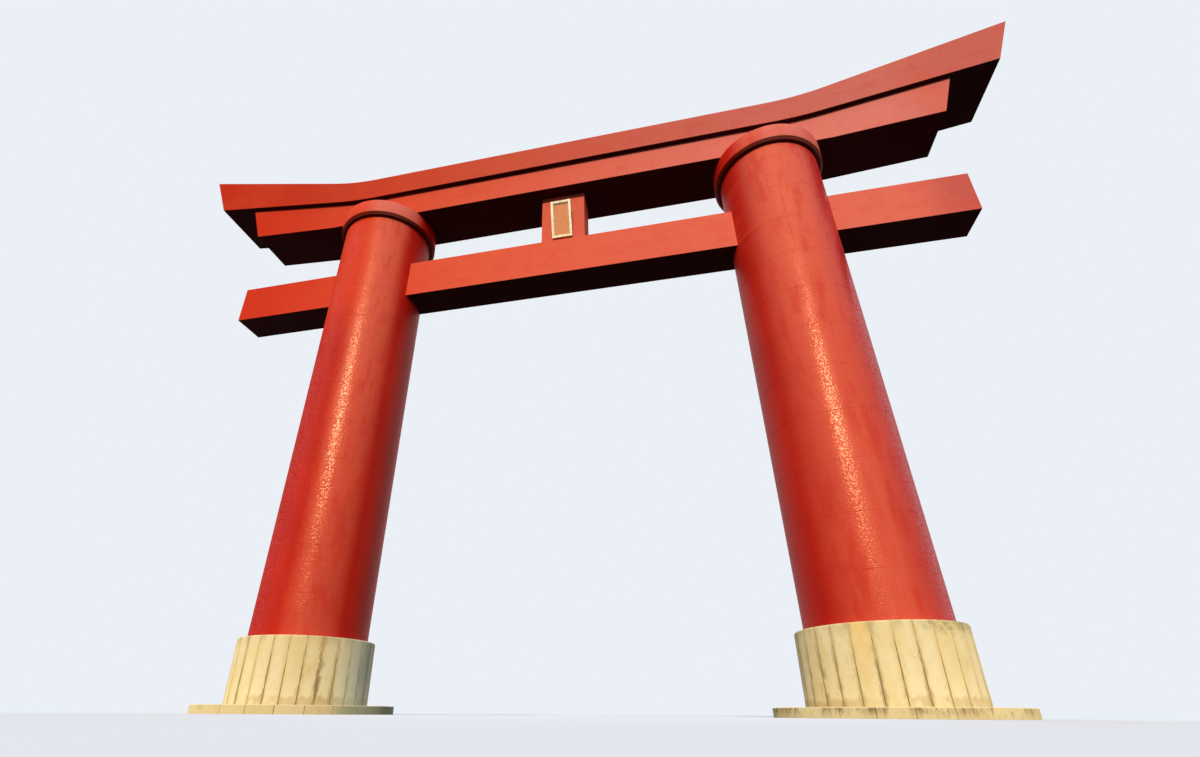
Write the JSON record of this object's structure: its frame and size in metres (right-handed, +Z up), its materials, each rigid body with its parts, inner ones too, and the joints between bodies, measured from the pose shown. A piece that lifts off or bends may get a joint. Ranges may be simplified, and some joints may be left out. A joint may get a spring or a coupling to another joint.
{
  "type": "torii gate",
  "caption": "Large painted-concrete torii gate: leaning round posts in panelled drums on kerb rings, a tie beam with a framed blank tablet, and a doubled lintel with upswept ends.",
  "frame": {"origin": "on the ground, midway between the two posts", "axes": "+X along the lintels to the right as seen from the front, +Y through the gate towards the back, +Z up; the tablet faces -Y"},
  "size_m": [39.5696, 6.6998, 27.3119],
  "materials": {
    "post_paint": "vermilion masonry paint on cast concrete, half gloss, rough where it was brushed on thick",
    "ring_paint": "vermilion masonry paint on cast concrete, half gloss",
    "beam_paint": "vermilion masonry paint on cast concrete, chalky where the sun has faded it",
    "drum_panel": "cream panels with dark joints, streaked with grey and brown",
    "drum_concrete": "plain concrete",
    "kerb_stone": "sawn buff stone blocks, stained along their joints",
    "bed_concrete": "brushed concrete",
    "tablet_gilding": "dull gilding",
    "tablet_board": "brown-red lacquer",
    "bearer_iron": "dark painted iron"
  },
  "bodies": {
    "root": {"left_kerb": "kerb_stone", "left_bed": "bed_concrete", "left_drum_core": "drum_concrete", "left_drum_cladding": "drum_panel", "left_post_foot": "post_paint", "left_post_middle": "post_paint", "left_post_crossing": "post_paint", "left_post_neck": "post_paint", "left_ring": "ring_paint", "right_kerb": "kerb_stone", "right_bed": "bed_concrete", "right_drum_core": "drum_concrete", "right_drum_cladding": "drum_panel", "right_post_foot": "post_paint", "right_post_middle": "post_paint", "right_post_crossing": "post_paint", "right_post_neck": "post_paint", "right_ring": "ring_paint", "tie_beam": "beam_paint", "strut": "beam_paint", "tablet_board": "tablet_board", "tablet_frame": "tablet_gilding", "tablet_bearers": "bearer_iron", "lower_lintel_left": "beam_paint", "lower_lintel_centre": "beam_paint", "lower_lintel_right": "beam_paint", "top_lintel_left": "beam_paint", "top_lintel_centre": "beam_paint", "top_lintel_right": "beam_paint"}
  },
  "joints": []
}
